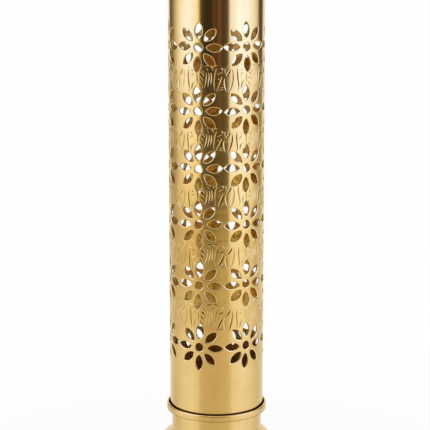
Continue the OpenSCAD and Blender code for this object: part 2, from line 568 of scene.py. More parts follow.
@dataclass(frozen=True)
class Brass:
    """Polished or turned brass: fine lathe rings, soft colour patches, specks, and painted shade along seams
    and creases.
    """

    name: str
    clean: Colour = (0.83, 0.60, 0.25)
    warm: Colour = (0.72, 0.47, 0.16)
    # the colour of the specks, and of the painted shade in the seam and crease bands
    grime_and_shade: Colour = (0.10, 0.055, 0.016)
    roughness: float = 0.075
    ring_height: float = 0.0012
    ring_pitch: float = 0.22
    unevenness: float = 0.02
    specks: float = 0.35
    patch_scale: float = 55.0
    cloud_scale: float = 260.0
    speck_scale: float = 900.0
    # bands of painted shade at seams, creases and joints between parts
    shade_bands: tuple[Band, ...] = ()

    def material(self) -> bpy.types.Material:
        """Builds the finish.

        Returns:
            The material.
        """
        made = bpy.data.materials.new(self.name)
        made.use_nodes = True
        graph = Graph(made.node_tree)
        place = graph.node("ShaderNodeTexCoord").outputs["Object"]
        x, y, z = graph.split(place)
        self.wire(graph, place, x.length_with(y), z)
        return made

    @staticmethod
    def cover(bands: Sequence[Band], radius: Number, z: Number) -> Number:
        """How far a place lies in any of some bands.

        Args:
            bands: the bands.
            radius: the place's distance from the axis, in metres.
            z: its height, in metres.

        Returns:
            From 0 outside them all to 1 in one.
        """
        total = radius * 0.0
        for band in bands:
            total = band.mask(radius, z).most(total)
        return total

    def wire(self, graph: Graph, place: bpy.types.NodeSocket, radius: Number, z: Number) -> None:
        """Lays out the shader.

        Args:
            graph: the material's nodes.
            place: a place's own coordinates.
            radius: its distance from the axis.
            z: its height.
        """
        patches = self.noise(graph, place, self.patch_scale, 3.0)
        clouds = self.noise(graph, place, self.cloud_scale, 4.0)
        rings = self.rings(graph, radius, z, self.ring_pitch)
        fine = self.rings(graph, radius, z, self.ring_pitch * 0.35)
        speck = self.noise(graph, place, self.speck_scale, 1.0).ramp(0.70, 0.78) * self.specks
        tone = patches.ramp(0.35, 0.75) * 0.55 + clouds.ramp(0.4, 0.8) * 0.25 + rings * 0.2
        # specks, and painted shade in the seam and crease bands, darkened towards one colour
        specks_and_shade = self.cover(self.shade_bands, radius, z).most(speck)
        colour = self.mix(graph, tone, self.clean, self.warm)
        colour = self.mix(graph, specks_and_shade, colour, self.grime_and_shade)
        rough = self.roughness + clouds * 0.06 + rings * 0.03 + specks_and_shade * 0.35
        height = rings * self.ring_height + fine * (self.ring_height * 0.4) + patches * self.unevenness
        self.finish(graph, colour, rough, height)

    @staticmethod
    def finish(graph: Graph, colour: bpy.types.NodeSocket, rough: Number, height: Number) -> None:
        """Joins a finish's parts to a metal shader.

        Args:
            graph: the material's nodes.
            colour: the metal's colour.
            rough: its roughness.
            height: how far its surface rises, in millimetres.
        """
        bump = graph.node("ShaderNodeBump", None, {"Height": height, "Distance": MM, "Strength": 1.0})
        shader = graph.node("ShaderNodeBsdfPrincipled", None, {
            "Base Color": colour, "Roughness": rough, "Metallic": 1.0, "Normal": bump.outputs["Normal"]})
        output = graph.node("ShaderNodeOutputMaterial", None, {"Surface": shader.outputs[0]})
        output.is_active_output = True

    @staticmethod
    def mix(graph: Graph, part: Number, first: object, second: object) -> bpy.types.NodeSocket:
        """Mixes two colours.

        Args:
            graph: the material's nodes.
            part: how much of the second there is, from 0 to 1.
            first: a colour, or the socket of one.
            second: the same.

        Returns:
            The mixed colour.
        """
        ends = [(*end, 1.0) if isinstance(end, tuple) else end for end in (first, second)]
        node = graph.node("ShaderNodeMix", {"data_type": "RGBA"}, {0: part, 6: ends[0], 7: ends[1]})
        return node.outputs[2]

    @staticmethod
    def noise(graph: Graph, place: object, scale: float, detail: float) -> Number:
        """Cloudy noise between 0 and 1."""
        inputs = {"Vector": place, "Scale": scale, "Detail": detail, "Roughness": 0.55}
        return graph.number("ShaderNodeTexNoise", "Fac", None, inputs)

    @classmethod
    def rings(cls, graph: Graph, radius: Number, z: Number, pitch: float) -> Number:
        """Fine uneven rings round the axis, as a lathe tool or a polishing mop leaves them."""
        across = graph.join(radius, z, 0.0)
        return cls.noise(graph, across, 1.0 / (pitch * MM), 2.0)


@dataclass(frozen=True)
class PiercedBrass(Brass):
    """The tube's brass: bright outside, painted shade on the hole walls and a painted highlight round their
    rims, smoked inside, worn round the engraving.
    """

    smoked: Colour = (0.88, 0.60, 0.17)
    soot: Colour = (0.42, 0.24, 0.05)
    # a painted highlight on the chamfered rim round each hole, lighter than the clean brass
    painted_rim_highlight: Colour = (0.90, 0.67, 0.29)
    scored: Colour = (0.56, 0.37, 0.12)
    outer: float = 25.0
    wall: float = 0.8
    patch_scale: float = 60.0
    cloud_scale: float = 330.0
    grain_scale: float = 1500.0
    speck_scale: float = 700.0
    stroke_scale: tuple[float, float, float] = (1100.0, 1100.0, 230.0)
    worked: tuple[Band, ...] = ()

    def wire(self, graph: Graph, place: bpy.types.NodeSocket, radius: Number, z: Number) -> None:
        """Lays out the shader.

        Args:
            graph: the material's nodes.
            place: a place's own coordinates.
            radius: its distance from the axis.
            z: its height.
        """
        wall = self.wall * MM
        below = self.outer * MM - radius  # the depth under the tube's outer face
        cut = below.ramp(0.04 * MM, 0.2 * MM)
        inside = below.ramp(wall * 0.55, wall * 0.9)
        worked = self.cover(self.worked, radius, z)
        patches = self.noise(graph, place, self.patch_scale, 3.0)
        clouds = self.noise(graph, place, self.cloud_scale, 4.0)
        grain = self.noise(graph, place, self.grain_scale, 3.0)
        rings = self.rings(graph, radius, z, self.ring_pitch)
        strokes = self.noise(graph, self.stretched(graph, place), 1.0, 3.0)
        speck = self.noise(graph, place, self.speck_scale, 2.0).ramp(0.68, 0.76) * self.specks
        scuffed = worked * (clouds.ramp(0.38, 0.62) * 0.5 + strokes.ramp(0.45, 0.7) * 0.5)
        tone = patches.ramp(0.3, 0.75) * 0.5 + rings * 0.15 + scuffed * 0.1
        # painted shade on the hole walls below the rim's chamfer, outside the engraved bands
        pierced = cut * below.ramp(0.22 * MM, 0.34 * MM) * (1.0 - worked) * 0.78
        # specks, and painted shade on the hole walls and in the seam bands
        specks_and_shade = pierced.most(speck).most(self.cover(self.shade_bands, radius, z))
        colour = self.mix(graph, tone, self.clean, self.warm)
        colour = self.mix(graph, cut * worked * 0.8, colour, self.scored)
        colour = self.mix(graph, specks_and_shade, colour, self.grime_and_shade)
        sooty = clouds.ramp(0.42, 0.68) * z.ramp(0.09, 0.15)
        smoke = self.mix(graph, sooty, self.smoked, self.soot)
        colour = self.mix(graph, inside, colour, smoke)
        # painted highlight on the rim's chamfer round each hole
        painted_rim_highlight = below.ramp(0.0, 0.03 * MM) * below.ramp(0.30 * MM, 0.22 * MM) * (1.0 - worked)
        colour = self.mix(graph, painted_rim_highlight, colour, self.painted_rim_highlight)
        rough = self.roughness + clouds * 0.03 + scuffed * 0.16 + specks_and_shade * 0.22
        rough = rough + inside * clouds * 0.14 + painted_rim_highlight * 0.12
        height = rings * self.ring_height + patches * self.unevenness
        height = height + worked * (1.0 - inside) * (clouds * 0.008 + grain * 0.004 + strokes * 0.022)
        self.finish(graph, colour, rough, height)

    def stretched(self, graph: Graph, place: bpy.types.NodeSocket) -> bpy.types.NodeSocket:
        """Coordinates that draw noise out along the tube."""
        inputs = {0: place, 1: self.stroke_scale}
        return graph.node("ShaderNodeVectorMath", {"operation": "MULTIPLY"}, inputs).outputs[0]


@dataclass(frozen=True)
class Steel(Brass):
    """Plain bright steel for the fasteners."""

    clean: Colour = (0.60, 0.59, 0.57)
    warm: Colour = (0.50, 0.48, 0.45)
    roughness: float = 0.28


# --------------------------------------------------------------------------- the tube


@dataclass(frozen=True)
class Stroke:
    """One engraved cut, drawn flat: along the tube's girth and up it, in millimetres."""

    width: float
    points: tuple[Point, ...]


MOTIF: tuple[Stroke, ...] = (
    Stroke(0.40, ((-0.3, 3.4), (-0.2, 1.0), (-0.2, -1.4), (-0.7, -2.6))),
    Stroke(0.75, ((1.4, 3.4), (2.4, 2.6), (3.4, 1.4))),
    Stroke(0.70, ((1.3, 1.0), (1.8, 0.2), (2.8, -0.5))),
    Stroke(0.55, ((0.8, -1.6), (1.8, -3.0), (2.6, -4.4))),
    Stroke(0.35, ((2.4, 4.7), (3.0, 4.0), (3.8, 3.2))),
    Stroke(0.45, ((4.8, 5.6), (5.1, 5.0), (5.5, 4.2))),
    Stroke(0.35, ((4.6, 3.5), (4.5, 1.2), (4.0, -1.4), (3.3, -4.4))),
    Stroke(0.35, ((5.8, 3.4), (5.9, 1.0), (5.4, -1.5), (5.2, -3.8))),
    Stroke(0.35, ((7.0, 3.4), (7.1, 1.0), (6.7, -2.5))),
    Stroke(0.50, ((4.2, 6.4), (5.6, 6.8), (7.0, 6.9))),
    Stroke(0.65, ((7.2, 6.1), (7.8, 5.2), (8.2, 4.3))),
    Stroke(0.45, ((7.8, 7.0), (9.0, 7.0), (10.4, 6.6))),
    Stroke(0.60, ((9.8, 5.4), (9.6, 4.2), (9.0, 2.4), (8.7, 0.4), (8.4, -1.6), (8.4, -3.9), (8.7, -5.6))),
    Stroke(0.50, ((10.2, 2.2), (11.2, 2.5), (12.0, 2.7), (12.9, 3.4))),
    Stroke(0.45, ((12.4, 5.6), (13.1, 4.9), (13.0, 4.1))),
    Stroke(0.40, ((10.3, -0.2), (10.8, 0.1), (11.2, -0.3))),
    Stroke(0.70, ((12.7, 1.2), (12.2, -0.6), (11.4, -2.5), (10.4, -4.5), (9.5, -6.3))),
    Stroke(0.70, ((16.8, 4.6), (16.2, 3.2), (15.2, 1.9), (14.5, 1.0))),
    Stroke(0.70, ((14.0, 0.2), (13.9, -1.6), (14.0, -3.2), (14.5, -6.4))),
    Stroke(0.35, ((14.1, 5.2), (14.4, 3.8), (14.2, 2.2))),
    Stroke(0.35, ((10.7, -5.3), (12.0, -5.5), (13.3, -5.3))),
    Stroke(0.30, ((11.5, -4.0), (12.3, -4.4), (13.1, -4.1))),
    Stroke(0.75, ((17.8, 4.3), (18.0, 2.2), (17.9, 0.0), (17.5, -2.2), (16.7, -4.8), (15.6, -7.1))),
    Stroke(0.60, ((20.7, 4.7), (20.5, 2.2), (20.6, -0.2), (20.9, -2.4), (21.1, -4.9), (20.6, -6.6))),
    Stroke(0.55, ((20.0, 5.4), (20.7, 5.6), (21.5, 5.3))),
    Stroke(0.80, ((23.7, 2.8), (22.9, 1.6), (22.0, 0.1))),
    Stroke(0.55, ((24.3, -1.4), (23.3, -2.6), (22.8, -3.9), (22.7, -5.5))),
    Stroke(0.35, ((22.3, 4.6), (23.0, 4.0), (23.6, 3.6))),
)


@dataclass
class PiercedTube:
    """The tube, with six rows of flowers and a band of engraved strokes between each two rows."""

    rows: tuple[float, ...] = (39.0, 72.0, 104.0, 133.0, 163.0, 195.0)
    wall: float = 0.8
    around: int = 6
    petals: int = 8
    petal_length: float = 8.2
    petal_width: float = 4.0
    petal_reach: float = 8.5
    eye: float = 4.4
    rim: float = 0.40
    phase: float = 8.1
    groove: float = 0.22
    spread: float = 1.85
    courses: int = 24
    usual_gap: float = 32.0
    worked_half: float = 6.5
    worked_fade: float = 2.5
    wander: float = 1.0
    seed: int = 7
    petal_lean: float = 0.05  # radians
    flower_lean: float = 0.04  # radians
    stray_reach: float = 0.02  # a part of the reach
    stray_place: float = 0.35
    stray_width: float = 0.035  # a part of the width
    stray_length: float = 0.06  # a part of the length

    def __post_init__(self) -> None:
        """Reads the tube's place from the frame."""
        low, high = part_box("pierced_tube")
        self.radius = (high.x - low.x) / 2 / MM
        self.bottom = low.z / MM
        self.height = (high.z - low.z) / MM

    def bands(self) -> list[tuple[float, float]]:
        """The middle height of each engraved band, and how far it is stretched."""
        pairs = zip(self.rows, self.rows[1:])
        return [(self.bottom + (low + high) / 2, (high - low) / self.usual_gap) for low, high in pairs]

    def blank(self) -> bpy.types.Mesh:
        """Makes the plain tube.

        Returns:
            A closed shell of quads.
        """
        shape = bmesh.new()
        levels = [self.bottom + self.height * i / self.courses for i in range(self.courses + 1)]
        inner = self.radius - self.wall
        corners = [(self.radius, level) for level in levels] + [(inner, level) for level in reversed(levels)]
        rings = [Workshop.ring(shape, radius * MM, level * MM, SIDES) for radius, level in corners]
        Workshop.skin(shape, rings + rings[:1])
        return Workshop.mesh("tube_blank", shape)

    def _prism(self, name: str, outline: Callable[[float], list[Point]]) -> bpy.types.Object:
        """A cutter through the wall that flares at the outside.

        Args:
            name: the cutter's name.
            outline: gives the hole's outline grown by so many millimetres.

        Returns:
            The cutter, lying flat: radius along X, girth along Y.
        """
        past = 0.8  # how far the cutter reaches into the bore
        # Where along the radius each ring of the cutter stands, and how far the hole has flared there
        stations = [(self.radius - self.wall - past, 0.0), (self.radius - self.rim * 0.9, 0.0),
                    (self.radius - self.rim * 0.4, self.rim * 0.25), (self.radius, self.rim),
                    (self.radius + self.rim, self.rim * 2.2)]
        shape = bmesh.new()
        rings = [[shape.verts.new((x * MM, u * MM, v * MM)) for u, v in outline(grow)]
                 for x, grow in stations]
        Workshop.skin(shape, rings)
        Workshop.cap(shape, rings)
        return self._tool(name, shape)

    @staticmethod
    def _tool(name: str, shape: bmesh.types.BMesh) -> bpy.types.Object:
        """Makes a cutter of a closed shape, with its faces outwards.

        Args:
            name: the cutter's name.
            shape: the shape.

        Returns:
            The cutter, which isn't rendered.
        """
        bmesh.ops.recalc_face_normals(shape, faces=shape.faces[:])
        tool = Workshop.add(name, Workshop.mesh(name, shape))
        tool.hide_render = True
        return tool

    def petal_cutter(self, steps: int = 11) -> bpy.types.Object:
        """Makes the cutter of one pointed petal, which is where two circles overlap.

        Args:
            steps: the short sides of each half of the petal.

        Returns:
            The cutter.
        """
        half_length, half_width = self.petal_length / 2, self.petal_width / 2
        circle = (half_length ** 2 + half_width ** 2) / (2 * half_width)
        centre = circle - half_width

        def outline(grow: float) -> list[Point]:
            """Half the petal, then the same turned round.

            Args:
                grow: how far the outline is pushed out.

            Returns:
                Its points.
            """
            big = circle + grow
            reach = math.acos(centre / big)
            angles = [reach - 2 * reach * i / steps for i in range(steps)]
            side = [(big * math.sin(a), big * math.cos(a) - centre) for a in angles]
            return side + [(-u, -v) for u, v in side]

        return self._prism("petal_cutter", outline)

    def eye_cutter(self, steps: int = 24) -> bpy.types.Object:
        """Makes the cutter of the round hole in a flower's middle.

        Args:
            steps: the circle's short sides.

        Returns:
            The cutter.
        """

        def outline(grow: float) -> list[Point]:
            """A circle, pushed out by grow."""
            radius, angles = self.eye / 2 + grow, [-2 * math.pi * i / steps for i in range(steps)]
            return [(radius * math.cos(a), radius * math.sin(a)) for a in angles]

        return self._prism("eye_cutter", outline)

    @staticmethod
    def _smooth_path(points: Sequence[Point], spacing: float = 0.7) -> list[Vector]:
        """Draws a smooth curve through a stroke's points.

        Args:
            points: the stroke's points.
            spacing: about how far apart the curve's points are.

        Returns:
            The curve's points.
        """
        given = [Vector(point) for point in points]
        ends = [2 * given[0] - given[1], *given, 2 * given[-1] - given[-2]]
        path = [given[0]]
        for a, b, c, d in zip(ends, ends[1:], ends[2:], ends[3:]):
            steps = max(1, round((c - b).length / spacing))
            for step in range(1, steps + 1):
                t = step / steps
                bent = (2 * b + (c - a) * t + (2 * a - 5 * b + 4 * c - d) * t ** 2
                        + (3 * b - a - 3 * c + d) * t ** 3)
                path.append(bent / 2)
        return path

    def motif_cutter(self) -> bpy.types.Object:
        """Makes the cutter of one engraved motif, whose strokes are V grooves that run out at their ends.

        Returns:
            The cutter.
        """
        shape = bmesh.new()
        over = 0.12  # how far each stroke stands out of the tube
        for stroke in MOTIF:
            path = self._smooth_path(stroke.points)
            rings = []
            for i, here in enumerate(path):
                ahead = path[min(i + 1, len(path) - 1)] - path[max(i - 1, 0)]
                side = Vector((ahead.y, -ahead.x)).normalized()
                run = i / (len(path) - 1)
                taper = min(1.0, 0.35 + 3.0 * run, 0.2 + 2.2 * (1.0 - run))
                depth = self.groove * taper * (0.7 + 0.6 * stroke.width)
                half = self.spread * stroke.width / 2 * taper * (depth + over) / depth
                left, right = here + side * half, here - side * half
                top = (self.radius + over) * MM
                rings.append([shape.verts.new((top, left.x * MM, left.y * MM)),
                              shape.verts.new((top, right.x * MM, right.y * MM)),
                              shape.verts.new(((self.radius - depth) * MM, here.x * MM, here.y * MM))])
            Workshop.skin(shape, rings)
            Workshop.cap(shape, rings)
        return self._tool("motif_cutter", shape)

    @staticmethod
    def _marks(name: str, heights: Iterable[float], stretches: Iterable[float]) -> bpy.types.Object:
        """Puts points up the axis for the tree to read.

        Args:
            name: the object's name.
            heights: the points' heights, in millimetres.
            stretches: how far the cutter is stretched at each.

        Returns:
            The points' object.
        """
        levels = list(heights)
        mesh = bpy.data.meshes.new(name)
        mesh.from_pydata([(0.0, 0.0, level * MM) for level in levels], [], [])
        mesh.attributes.new("stretch", "FLOAT", "POINT").data.foreach_set("value", list(stretches))
        marks = Workshop.add(name, mesh)
        marks.hide_render = True
        return marks

    def piercing_tree(self) -> tuple[bpy.types.GeometryNodeTree, dict[str, str]]:
        """The tree that cuts the flowers and the strokes out of the blank.

        Returns:
            The tree, and the identifier of each of its named inputs.
        """
        tree = bpy.data.node_groups.new("pierce_and_engrave", "GeometryNodeTree")
        kinds = {"Blank": "Geometry", "Petal Cutter": "Object", "Eye Cutter": "Object",
                 "Motif Cutter": "Object", "Row Marks": "Object", "Band Marks": "Object",
                 "Radius": "Float", "Petal Reach": "Float", "Phase": "Float", "Wander": "Float",
                 "Around": "Int", "Petals": "Int", "Seed": "Int", "Finish": "Material"}
        names = {}
        for name, kind in kinds.items():
            socket = tree.interface.new_socket(name, in_out="INPUT", socket_type=f"NodeSocket{kind}")
            names[name] = socket.identifier
        tree.interface.new_socket("Tube", in_out="OUTPUT", socket_type="NodeSocketGeometry")
        graph = Graph(tree)
        given = graph.node("NodeGroupInput").outputs
        each, reach = Number(graph, given["Petals"]), Number(graph, given["Petal Reach"])
        petals = self._scatter(graph, given, "Petal Cutter", "Row Marks", each, reach)
        eyes = self._scatter(graph, given, "Eye Cutter", "Row Marks")
        strokes = self._scatter(graph, given, "Motif Cutter", "Band Marks")
        settings = {"operation": "DIFFERENCE", "solver": "MANIFOLD"}
        holes = graph.node("GeometryNodeJoinGeometry", None, {0: [petals, eyes]}).outputs[0]
        pierced = graph.node("GeometryNodeMeshBoolean", settings,
                             {"Mesh 1": given["Blank"], "Mesh 2": holes})
        engraved = graph.node("GeometryNodeMeshBoolean", settings,
                              {"Mesh 1": pierced.outputs["Mesh"], "Mesh 2": strokes})
        whole = graph.node("GeometryNodeRealizeInstances", None, {0: engraved.outputs["Mesh"]})
        dressed = graph.node("GeometryNodeSetMaterial", None,
                             {"Geometry": whole.outputs[0], "Material": given["Finish"]})
        graph.node("NodeGroupOutput", None, {"Tube": dressed.outputs[0]})
        return tree, names

    def _scatter(self, graph: Graph, given: bpy.types.bpy_prop_collection, cutter: str, marks: str,
                 each: Term = 1, reach: Term = 0.0) -> bpy.types.NodeSocket:
        """Lays a cutter out flat, row by row, and wraps the lot round the tube.

        Args:
            graph: the tree.
            given: the tree's inputs.
            cutter: the input that holds the cutter.
            marks: the input that holds a point for each row.
            each: cutters in each place, turned evenly about it.
            reach: how far from its place a cutter lies.

        Returns:
            The wrapped cutters.
        """
        around, radius = Number(graph, given["Around"]), Number(graph, given["Radius"])
        tool = graph.node("GeometryNodeObjectInfo", None, {"Object": given[cutter]}).outputs["Geometry"]
        rows = graph.node("GeometryNodeObjectInfo", None, {"Object": given[marks]}).outputs["Geometry"]
        count = graph.number("GeometryNodeAttributeDomainSize", "Point Count", None, {"Geometry": rows})
        points = graph.node("GeometryNodePoints", None, {"Count": count * around * each}).outputs[0]
        index = graph.number("GeometryNodeInputIndex")
        nudge = 0.001  # keeps a whole number from being rounded down to the one below
        spot = (index / each + nudge).floor()
        turn = (index % each) * 2 * math.pi / each
        column = spot % around
        row = (spot / around + nudge).floor()
        level = graph.node("GeometryNodeSampleIndex", {"data_type": "FLOAT_VECTOR"}, {
            "Geometry": rows, "Value": graph.node("GeometryNodeInputPosition").outputs[0], "Index": row})
        height = graph.split(level.outputs[0])[2]
        name = graph.node("GeometryNodeInputNamedAttribute", {"data_type": "FLOAT"}, {"Name": "stretch"})
        stretch = graph.number("GeometryNodeSampleIndex", 0, {"data_type": "FLOAT"}, {
            "Geometry": rows, "Value": name.outputs[0], "Index": row})
        wander = Number(graph, given["Wander"])
        seed = Number(graph, given["Seed"])

        def stray(identity: Number, offset: int) -> Number:
            """A fixed random number within plus or minus one, of its own for each offset."""
            inputs = {2: -1.0, 3: 1.0, "ID": identity, "Seed": seed + offset}
            return graph.number("FunctionNodeRandomValue", 1, {"data_type": "FLOAT"}, inputs)

        tilt = turn + stray(index, 1) * wander * self.petal_lean + stray(spot, 2) * wander * self.flower_lean
        out = (stray(index, 3) * wander * self.stray_reach + 1.0) * reach
        girth = (Number(graph, given["Phase"]) + column * (2 * math.pi) / around) * radius
        across = girth + out * tilt.cosine() + stray(spot, 4) * wander * self.stray_place * MM
        up = height + out * tilt.sine() + stray(spot, 5) * wander * self.stray_place * MM
        placed = graph.node("GeometryNodeSetPosition", None,
                            {"Geometry": points, "Position": graph.join(0.0, across, up)})
        size = graph.join(1.0, stray(index, 6) * wander * self.stray_width + 1.0,
                          stretch * (stray(index, 7) * wander * self.stray_length + 1.0))
        copies = graph.node("GeometryNodeInstanceOnPoints", None, {
            "Points": placed.outputs[0], "Instance": tool, "Rotation": graph.join(tilt, 0.0, 0.0),
            "Scale": size})
        flat = graph.node("GeometryNodeRealizeInstances", None, {0: copies.outputs[0]}).outputs[0]
        x, y, z = graph.split(graph.node("GeometryNodeInputPosition").outputs[0])
        angle = y / radius
        wrapped = graph.join(x * angle.cosine(), x * angle.sine(), z)
        return graph.node("GeometryNodeSetPosition", None, {"Geometry": flat, "Position": wrapped}).outputs[0]

    def true_normals(self, mesh: bpy.types.Mesh) -> None:
        """Shades the tube's round faces by their exact normals and every cut by its own shape.

        Args:
            mesh: the pierced tube's mesh.
        """
        Workshop.smooth(mesh, sharp=38.0)
        near = 0.02  # millimetres
        upright, radial = 0.9, 0.97  # how far a face's normal lies level, and points along the radius
        inner = self.radius - self.wall
        normals = [Vector(corner.vector) for corner in mesh.corner_normals]
        for polygon in mesh.polygons:
            flat = Vector((polygon.normal.x, polygon.normal.y, 0.0))
            if flat.length < upright:
                continue
            places = [mesh.vertices[i].co for i in polygon.vertices]
            radii = [math.hypot(place.x, place.y) / MM for place in places]
            middle = Vector((polygon.center.x, polygon.center.y, 0.0)).normalized()
            facing = flat.normalized().dot(middle)
            outside = facing > radial and min(radii) > self.radius - near
            within = facing < -radial and max(radii) < inner + near
            if not (outside or within):
                continue
            sign = 1.0 if outside else -1.0
            for loop, place in zip(polygon.loop_indices, places):
                normals[loop] = Vector((place.x, place.y, 0.0)).normalized() * sign
        mesh.normals_split_custom_set(normals)

    def build(self) -> bpy.types.Object:
        """Makes the finished tube.

        Returns:
            The tube.
        """
        bands = self.bands()
        worked = tuple(Band(middle, self.worked_half * stretch, self.worked_fade)
                       for middle, stretch in bands)
        # painted shade along the tube's bottom edge, where it stands in the collar
        shade_bands = (Band(self.bottom, 2.5, 0.6),)
        finish = PiercedBrass("tube_brass", outer=self.radius, wall=self.wall, worked=worked, shade_bands=shade_bands)
        tube = Workshop.add("tube_pierced_and_engraved", self.blank())
        tree, names = self.piercing_tree()
        levels = [self.bottom + row for row in self.rows]
        helpers = {"Petal Cutter": self.petal_cutter(), "Eye Cutter": self.eye_cutter(),
                   "Motif Cutter": self.motif_cutter(),
                   "Row Marks": self._marks("row_marks", levels, [1.0] * len(levels)),
                   "Band Marks": self._marks("band_marks", *zip(*bands))}
        values = {"Radius": self.radius * MM, "Petal Reach": self.petal_reach * MM,
                  "Phase": math.radians(self.phase), "Wander": self.wander, "Around": self.around,
                  "Petals": self.petals, "Seed": self.seed, "Finish": finish.material(), **helpers}
        step = tube.modifiers.new("pierce_and_engrave", "NODES")
        step.node_group = tree
        for name, value in values.items():
            step[names[name]] = value
        Workshop.plain(tube)
        for helper in helpers.values():
            bpy.data.objects.remove(helper)
        bpy.data.node_groups.remove(tree)
        self.true_normals(tube.data)
        return Workshop.mount(tube, "tube", "polished_brass", "pierced_tube")


# --------------------------------------------------------------------------- turned pieces


@dataclass
class Base:
    """The foot, neck and collar, and the bolt that ties them together."""

    foot_wall: float = 1.4
    rim_inset: float = 4.0
    rim_bead: float = 2.0
    flare_inset: float = 0.6
    flare_low: float = 4.6
    waist_height: float = 22.0
    waist_radius: float = 33.0
    step_height: float = 3.0
    step_out: float = 1.4
    shoulder_out: float = 0.4
    shoulder_centre: float = 20.0
    plate_radius: float = 24.9
    plate_wall: float = 1.6
    bolt_hole: float = 2.7
    bolt_radius: float = 2.5
    bolt_head: float = 3.0
    bolt_slot: Point = (1.2, 1.2)
    nut_hole: float = 2.45
    neck_wall: float = 2.1
    neck_floor: float = 2.0
    collar_gap: float = 0.9
    collar_edge: float = 0.7
    collar_floor: float = 1.2

    def __post_init__(self) -> None:
        """Reads the sizes that the frame gives."""
        self.foot_radius, _, self.foot_height = node_size("foot")
        self.spigot_radius, _, self.spigot_top = node_size("neck")
        self.collar_radius, self.collar_low, self.collar_high = node_size("collar_ring")
        self.tube_radius = node_size("pierced_tube")[0]

    def foot(self) -> bpy.types.Object:
        """Makes the spun bell foot, with its stepped shoulder and thick rolled rim.

        Returns:
            The foot.
        """
        radius, height = self.foot_radius, self.foot_height
        wall, waist, level = self.foot_wall, self.waist_radius, self.waist_height
        flare = radius - self.rim_bead - self.flare_inset
        flare_low = self.flare_low
        shoulder_low = level + self.step_height
        shoulder = waist + self.shoulder_out - self.shoulder_centre
        reach = (self.plate_radius - self.shoulder_centre) / shoulder
        rise = (height - shoulder_low) / math.sqrt(1 - reach ** 2)
        plate = height - self.plate_wall
        inner_end = math.degrees(math.asin((plate - shoulder_low) / (rise - wall)))
        outline = Outline().to((radius - self.rim_inset, 0.0))
        outline.bend((radius - self.rim_bead, self.rim_bead), (self.rim_bead, self.rim_bead), -90, 90, 14)
        outline.bend((flare, level), (flare - waist, level - flare_low), 270, 180, 28)
        outline.bend((waist, level + self.step_height / 2), (self.step_out, self.step_height / 2),
                     -90, 90, 12)
        outline.bend((self.shoulder_centre, shoulder_low), (shoulder, rise),
                     0, math.degrees(math.acos(reach)), 30)
        outline.to((self.bolt_hole, height), (self.bolt_hole, plate))
        outline.bend((self.shoulder_centre, shoulder_low), (shoulder - wall, rise - wall), inner_end, 0, 30)
        outline.bend((flare, level), (flare - waist + wall, level - flare_low + wall), 180, 264, 28)
        # painted shade in the foot's three creases
        creases = (shoulder_low + 0.1, level - 0.1, flare_low - 0.3)
        shade_bands = tuple(Band(crease, 0.1, 0.5) for crease in creases)
        finish = Brass("foot_brass", shade_bands=shade_bands, ring_pitch=0.3)
        piece = Workshop.turn("foot_bell", outline.rounded(0.35), finish.material())
        return Workshop.mount(piece, "base", "polished_brass", "foot")

    def neck(self) -> bpy.types.Object:
        """Makes the turned cup that the tube slips over.

        Returns:
            The neck.
        """
        radius, bore = self.spigot_radius, self.spigot_radius - self.neck_wall
        low, floor = self.foot_height, self.foot_height + self.neck_floor
        outline = Outline().to((self.bolt_hole, low), (radius, low), (radius, self.spigot_top),
                               (bore, self.spigot_top), (bore, floor), (self.bolt_hole, floor))
        # painted shade where the collar sits on the neck
        shade_bands = (Band(self.collar_low, 0.05, 0.25),)
        finish = Brass("neck_brass", shade_bands=shade_bands, ring_pitch=0.2)
        piece = Workshop.turn("neck_cup", outline.rounded(0.3), finish.material())
        return Workshop.mount(piece, "base", "polished_brass", "neck")

    def collar(self) -> bpy.types.Object:
        """Makes the ring with the upstanding rim that the tube stands in.

        Returns:
            The collar.
        """
        outer, low, high = self.collar_radius, self.collar_low, self.collar_high
        rim = self.tube_radius + self.collar_gap
        seat = low + self.collar_floor
        edge = self.collar_edge
        outline = Outline().to((self.spigot_radius, low), (outer, low))
        outline.bend((outer - edge, high - edge), (edge, edge), 0, 90, 7)
        outline.to((rim, high), (rim, seat), (self.spigot_radius, seat))
        # painted shade in the seat inside the rim, round the tube's foot, and along the collar's lower edge
        shade_bands = (Band(seat, 0.4, 0.9, rim + 0.05), Band(low, 0.12, 0.3))
        finish = Brass("collar_brass", shade_bands=shade_bands, ring_pitch=0.16, roughness=0.16)
        piece = Workshop.turn("collar_rim", outline.rounded(0.18), finish.material())
        return Workshop.mount(piece, "base", "turned_brass", "collar_ring")

    def build(self, fasteners: "Fasteners") -> None:
        """Makes every piece of the base.

        Args:
            fasteners: makes the bolt, washer and nut.
        """
        self.foot()
        self.neck()
        self.collar()
        fasteners.slotted("tie_bolt_slotted", "tie_bolt", "base", self.bolt_radius, self.bolt_head,
                          self.bolt_slot)
        fasteners.washer("tie_washer_round", "tie_washer", "base", self.bolt_hole)
        fasteners.nut("tie_nut_hexagon", "tie_nut", "base", self.nut_hole)


class Facing(Enum):
    """Which way a screw's head faces."""

    UP = 1
    DOWN = -1


